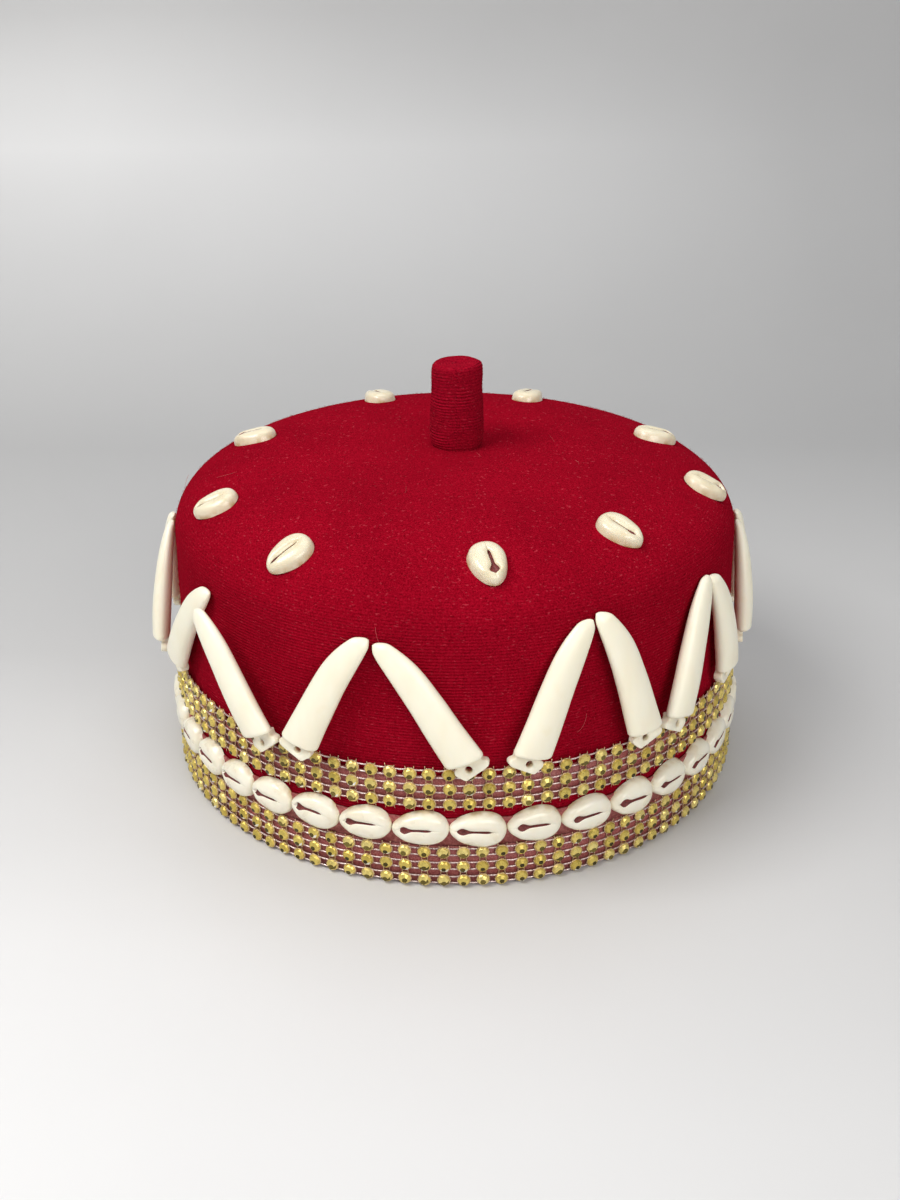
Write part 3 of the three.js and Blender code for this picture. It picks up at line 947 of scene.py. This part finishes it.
def tusk_matrix(pair, side):
    """The place of one tusk: X across, Y from its foot to its tip, Z outwards."""
    degrees, spreads, shares, rises, right_over = pair
    which = 0 if side < 0 else 1
    length = TUSK_LENGTH * shares[which]
    is_over = right_over and side > 0
    foot_height = LUG_FOOT_HEIGHT + rises[which] * LUG_LENGTH
    foot_azimuth = radians(degrees + side * spreads[which])
    tip_azimuth = radians(degrees + (0 if is_over else side * TIP_SPACING))
    lift = TIP_LIFT + TUSK_THICKNESS * OVER_SHARE + GAP if is_over else TIP_LIFT
    band_top = UPPER_BAND_BOTTOM + 2 * NET_MARGIN + 2 * ROW_PITCH
    on_felt = foot_height > band_top + GAP
    seat_height = foot_height if on_felt else band_top - NET_MARGIN + STONE_WIDTH / 4
    seat_lift = FELT_SEAT_LIFT if on_felt else GAP + NET_THICKNESS + STONE_HEIGHT + SEAT_CLEARANCE
    seat_radius = wall_radius(seat_height) + seat_lift
    tip_height = foot_height + length
    for _ in range(8):
        tip_radius = wall_radius(tip_height) + lift
        lean = (seat_radius - tip_radius) / (tip_height - seat_height)
        foot = on_cap(foot_azimuth, seat_radius + lean * (seat_height - foot_height), foot_height)
        tip = on_cap(tip_azimuth, tip_radius, tip_height)
        sideways = hypot(tip.x - foot.x, tip.y - foot.y)
        tip_height = foot_height + sqrt(length ** 2 - sideways ** 2)
    tip = on_cap(tip_azimuth, tip_radius, tip_height)
    along = (tip - foot).normalized()
    facing = on_cap(foot_azimuth + 0.2 * (tip_azimuth - foot_azimuth), 1, 0)
    across = along.cross(facing).normalized()
    outward = across.cross(along)
    return Matrix.Translation(foot) @ Matrix((across, along, outward)).transposed().to_4x4()


def between_sections(share):
    """Reach and thickness at a share of the length, on a smooth curve through the sections."""
    table = TUSK_SECTIONS
    i = 0
    while i < len(table) - 2 and share > table[i + 1][0]:
        i += 1
    before, here = table[max(i - 1, 0)], table[i]
    after, beyond = table[i + 1], table[min(i + 2, len(table) - 1)]
    span = after[0] - here[0]
    t = (share - here[0]) / span
    values = []
    for column in (1, 2, 3):
        start = (after[column] - before[column]) / max(after[0] - before[0], 1e-6) * span
        end = (beyond[column] - here[column]) / max(beyond[0] - here[0], 1e-6) * span
        values.append(
            (2 * t ** 3 - 3 * t ** 2 + 1) * here[column] + (t ** 3 - 2 * t ** 2 + t) * start
            + (-2 * t ** 3 + 3 * t ** 2) * after[column] + (t ** 3 - t ** 2) * end
        )
    return values


def lug_reach(angle):
    """How far the lug's outline lies from the middle of its hole in one direction."""
    direction = Vector((cos(angle), sin(angle)))
    middle = Vector((-LUG_HOLE_ACROSS, LUG_HOLE_ALONG))
    corners = [Vector((x * LUG_WIDTH, y * LUG_LENGTH)) - middle for x, y in LUG_OUTLINE]
    for a, b in zip(corners, corners[1:] + corners[:1]):
        edge = b - a
        cross = direction.x * edge.y - direction.y * edge.x
        if abs(cross) < 1e-9:
            continue
        distance = (a.x * edge.y - a.y * edge.x) / cross
        where = (a.x * direction.y - a.y * direction.x) / cross
        if distance > 0 and -1e-6 <= where <= 1 + 1e-6:
            return distance
    return LUG_LENGTH / 2


def add_tusk(shape, place, length, inner_side, seed):
    """One bead: a curved, tapering body, a narrow neck and a drilled lug."""
    root = LUG_LENGTH + NECK_LENGTH
    body_length = length - root
    sides = 30
    shares = [0.0, 0.003, 0.008, 0.014, 0.022, 0.032, 0.05] + [0.08 + 0.84 * i / 25 for i in range(26)]
    shares += [0.937, 0.952, 0.966, 0.978, 0.987, 0.993, 0.9975, 1.0]
    lines = []
    for share in shares:
        inner, outer, thick = between_sections(share)
        start = min(share / 0.03, 1)
        end = min((1 - share) / 0.04, 1)
        foot_round = sqrt(1 - (1 - start) ** 2)
        tip_round = sqrt(1 - (1 - end) ** 2)
        rounding = (0.8 + 0.2 * foot_round) * (0.35 + 0.65 * tip_round)
        thinning = (0.6 + 0.4 * foot_round) * (0.35 + 0.65 * tip_round)
        centre = inner_side * ((inner - outer) / 2 + 0.04 * (1 - tip_round))
        half = (inner + outer) / 2 * rounding
        wobble = 0.012 * noise.noise(Vector((share * 4, seed * 3.7, 0)))
        line = []
        for angle in full_turn(sides):
            c, s = cos(angle), sin(angle)
            x = copysign(abs(c) ** 0.94, c)
            z = copysign(abs(s) ** 0.94, s)
            depth = thick * TUSK_THICKNESS
            level = depth / 2 * (1 + z * thinning)
            across = (centre + wobble + half * x) * TUSK_WIDTH
            slant = inner_side * across * tan(FOOT_TURN) * (1 - share)
            line.append(place @ Vector((across, root + share * body_length + slant, level)))
        lines.append(line)
    # Painted shade at the foot of the body, where it meets the neck
    crease_shade = [0.9 * (share < 0.004) for share in shares for _ in range(sides)]
    shape.sheet(lines, ends=(True, True), tone=crease_shade)

    angles = full_turn(72)
    reaches = [lug_reach(angle) for angle in angles]
    turned = place @ Matrix.Rotation(inner_side * FOOT_TURN, 4, "Z")
    hole = LUG_HOLE_RADIUS
    top = LUG_THICKNESS
    outline = [(top - 0.4, 0, hole), (top, 0, hole + 0.18), (top, 0.93, 0), (top - 0.1, 0.975, 0),
               (top - 0.4, 1.0, 0), (0.3, 1.0, 0), (0.05, 0.96, 0), (0.05, 0, hole)]
    rings = []
    lug_shade = []
    for level, share, fixed in outline:
        ring = []
        for angle, reach in zip(angles, reaches):
            size = fixed or reach * share
            across = size * cos(angle) - LUG_HOLE_ACROSS
            along = size * sin(angle) + LUG_HOLE_ALONG
            ring.append(turned @ Vector((inner_side * across, along, level)))
            in_hole = level < top - 0.3 and not share
            # Painted shade inside the hole and on the lug towards the neck, under the body's foot
            lug_shade.append(0.8 if in_hole else smooth_step(3.7, 5.4, along + level / top))
        rings.append(ring)
    shape.sheet(rings, looped=True, tone=lug_shade)


def make_tusks(horn):
    """Ten pairs of tusks, their feet on the upper stone band and their tips meeting on the felt."""
    for number, pair in enumerate(TUSK_PAIRS, 1):
        for side, word in ((-1, "left"), (1, "right")):
            node = f"{word}_tusk_{number:02d}"
            shape = Shape()
            length = TUSK_LENGTH * pair[2][0 if side < 0 else 1]
            add_tusk(shape, tusk_matrix(pair, side), length, -side, number + 0.5 * side)
            shape.piece(node + "_bead", [horn], "tusk_horn", [node], tones=True)


# Floor, light and camera


# The painted light and shade of the floor and backdrop: how pale they are painted from front to back, on
# the left and on the right, and over what length and width this spreads
FLOOR_LENGTH = 1200
FLOOR_WIDTH = 520
FLOOR_LEFT_PAINTED_LIGHT = [(0.0, 0.87), (0.1, 0.87), (0.15, 0.83), (0.19, 0.72), (0.29, 0.52), (0.49, 0.47),
              (0.63, 0.56), (0.83, 0.72), (0.94, 0.5)]
FLOOR_RIGHT_PAINTED_LIGHT = [(0.0, 0.58), (0.1, 0.58), (0.15, 0.54), (0.19, 0.53), (0.29, 0.57), (0.49, 0.46),
               (0.63, 0.46), (0.83, 0.48), (0.94, 0.46)]


def make_stage():
    """A pale floor that sweeps up into a backdrop, its light and shade painted on as ramps from front to
    back and left to right.
    """
    front, back, height, bend = -900.0, 620.0, 1100.0, 320.0
    outline = [(front, 0.0), (back - bend, 0.0)]
    for i in range(1, 13):
        angle = pi / 2 * i / 12
        outline.append((back - bend + bend * sin(angle), bend - bend * cos(angle)))
    outline.append((back, height))
    lines = [[Vector((x, y, z)) for x in (-1500.0, 1500.0)] for y, z in outline]
    shape = Shape()
    shape.sheet(lines, closed=False)
    paint = Paint("floor_painted_light", 0.42)
    parts = paint.add("ShaderNodeSeparateXYZ", {0: paint.place}).outputs
    far = paint.sum("ADD", parts[1], parts[2])
    far = paint.scaled(far, 1 / FLOOR_LENGTH, 0.25, clamp=True)
    aside = paint.scaled(parts[0], 1 / FLOOR_WIDTH, 0.5, clamp=True)
    # Painted light and shade: the floor's paleness is painted by position, paler on the left
    colour = paint.mix(aside, paint.ramp(far, *FLOOR_LEFT_PAINTED_LIGHT), paint.ramp(far, *FLOOR_RIGHT_PAINTED_LIGHT))
    cloud = paint.noise(90.0, 2.0)
    colour = paint.mix(1.0, colour, paint.ramp(cloud, (0.3, 0.985), (0.7, 1.0)), "MULTIPLY")
    paint.set(Base_Color=colour, Roughness=paint.ramp(cloud, (0.3, 0.4), (0.7, 0.44)))
    paint.set(Normal=paint.bump(paint.noise(14.0, 2.0), 0.01, 0.2))
    floor = shape.build("floor", [paint.material])


def make_light(name, place, aim, size, power, colour):
    """A soft square lamp."""
    lamp = bpy.data.lights.new(name, "AREA")
    lamp.shape = "RECTANGLE"
    lamp.size, lamp.size_y = size[0] * MM, size[1] * MM
    lamp.energy = power
    lamp.color = colour
    made = new_object(name, lamp)
    made.location = Vector(place) * MM
    made.rotation_euler = (Vector(aim) - Vector(place)).to_track_quat("-Z", "Y").to_euler()


def make_lights():
    """A strong lamp from the left, soft ones from above and in front, and a dim room."""
    make_light("key_light", (-620, -330, 980), (0, 0, 40), (700, 500), 9.6, (1.0, 0.985, 0.96))
    make_light("top_light", (60, 260, 1150), (0, 60, 0), (900, 700), 3.6, (0.97, 0.985, 1.0))
    make_light("front_fill", (420, -900, 620), (0, 0, 40), (700, 500), 5.7, (1.0, 0.97, 0.94))
    world = bpy.data.worlds.new("soft_room")
    world.use_nodes = True
    glow = world.node_tree.nodes["Background"].inputs
    glow["Color"].default_value = (0.9, 0.93, 1.0, 1)
    glow["Strength"].default_value = 0.18
    bpy.context.scene.world = world


def make_camera():
    """Looks 26.5 degrees down at the front of the cap, very slightly turned."""
    pitch = 0.463
    roll = -0.005
    distance = 414.04
    aim = Vector((-1.684, 0, 45.344))
    data = bpy.data.cameras.new("camera")
    data.lens = 36
    data.sensor_width = 36
    data.sensor_fit = "AUTO"
    data.clip_start, data.clip_end = 0.01, 20
    camera = new_object("camera", data)
    back = Vector((0, -cos(pitch), sin(pitch)))
    turned = Matrix.Rotation(pi / 2 - pitch, 4, "X") @ Matrix.Rotation(roll, 4, "Z")
    camera.matrix_world = Matrix.Translation((aim + back * distance) * MM) @ turned
    bpy.context.scene.camera = camera


make_camera()
make_lights()
make_stage()

felt_reds = (0.12, 0.0005, 0.004), (0.285, 0.002, 0.012), (0.43, 0.007, 0.026)
thread_reds = (0.09, 0.0005, 0.005), (0.3, 0.003, 0.016), (0.47, 0.012, 0.03)
felt = felt_paint("crimson_felt", FELT_ROW, 0.2, FELT_ROW_END, *felt_reds)
thread = felt_paint("crimson_thread", STEM_THREAD, 0.26, 2 * CROWN_HEIGHT, *thread_reds)
fibre = fibre_paint()
shell = shell_paint("cowrie_shell_gloss", (1.0, 1.0, 1.0))
# A darker copy of the shell paint for the dome: painted shade against the stronger light on top
dome_shell = shell_paint("dome_gloss_painted_shade", (0.86, 0.82, 0.73))
slit = slit_shade_paint()
horn = tusk_paint()
gold = (0.62, 0.46, 0.09), (0.77, 0.6, 0.15), (0.9, 0.74, 0.26)
# Painted reflections: dark gold for facets that stand for the reflected dark room, pale gold for painted
# glints
painted_dark_reflection_gold = (0.03, 0.022, 0.003), (0.09, 0.066, 0.01), (0.2, 0.15, 0.03)
painted_glint_gold = (0.86, 0.83, 0.7), (0.93, 0.91, 0.82), (0.98, 0.97, 0.92)
band_paints = [
    stone_paint("gilt_facet", 0.26, 0.5, *gold),
    wire_paint("gilt_claw", (0.78, 0.58, 0.36), (0.5, 0.33, 0.18)),
    wire_paint("pale_twisted_wire", (0.95, 0.82, 0.78), (0.6, 0.42, 0.4)),
    # Painted reflections on the stones: the dark room as dark facets, and a glint as bright ones
    stone_paint("painted_dark_reflection_facet", 0.2, 0.5, *painted_dark_reflection_gold),
    stone_paint("painted_glint_facet", 0.2, 0.1, *painted_glint_gold),
]
red_net = net_paint("red_net", 0.45)

make_crown(felt)
make_fuzz(fibre)
make_stem(thread, fibre)
lower_band = LOWER_BAND_BOTTOM, LOWER_FIRST_COLUMN, 0.5, 13.6, 0.45
upper_band = UPPER_BAND_BOTTOM, UPPER_FIRST_COLUMN, 27.0, 36.9, 25.6
make_band("lower_stones", "lower_stone_band", *lower_band, band_paints, red_net, 7)
make_band("upper_stones", "upper_stone_band", *upper_band, band_paints, red_net, 8)
make_ring(shell, slit, net_paint("dull_film", 0.9))
make_dome_cowries(dome_shell, slit)
make_tusks(horn)

bpy.context.scene.view_settings.view_transform = "Standard"
